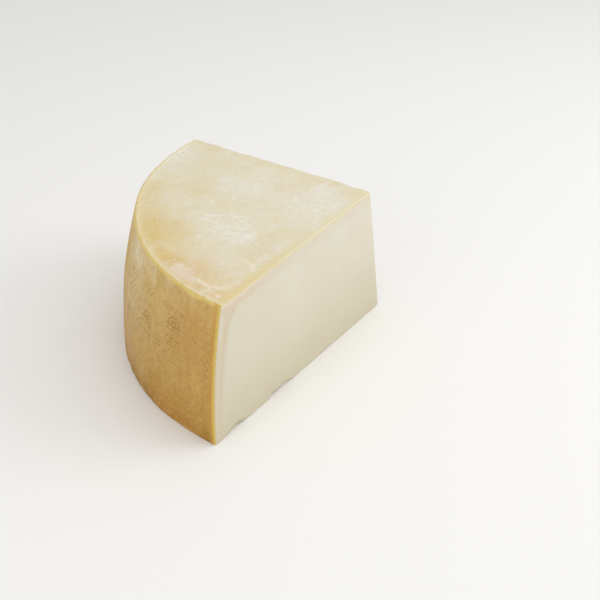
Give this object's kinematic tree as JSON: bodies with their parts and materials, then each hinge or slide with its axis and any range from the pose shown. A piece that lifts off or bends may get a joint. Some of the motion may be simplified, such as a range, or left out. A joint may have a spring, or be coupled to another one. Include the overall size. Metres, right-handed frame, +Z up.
{
  "type": "parmesan chunk",
  "caption": "Large chunk of hard aged cheese: a quarter of a barrel-shaped wheel split level at half height, with two upright knife cuts, a curved rind wall and a rimmed top.",
  "frame": {"origin": "middle of the footprint's bounding rectangle, on the plane the chunk stands on", "axes": "+Z up; -Y is the way the front knife cut faces, +X the way the back knife cut faces; the apex edge is at +X -Y and the rind wall curves from -X round to +Y"},
  "size_m": [0.2493, 0.2158, 0.1294],
  "materials": {
    "cheese": "waxy hard cheese: smooth ivory paste on the cuts, dry mottled golden rind on the top and wall"
  },
  "bodies": {
    "root": {"parmesan_chunk": "cheese"}
  },
  "joints": []
}
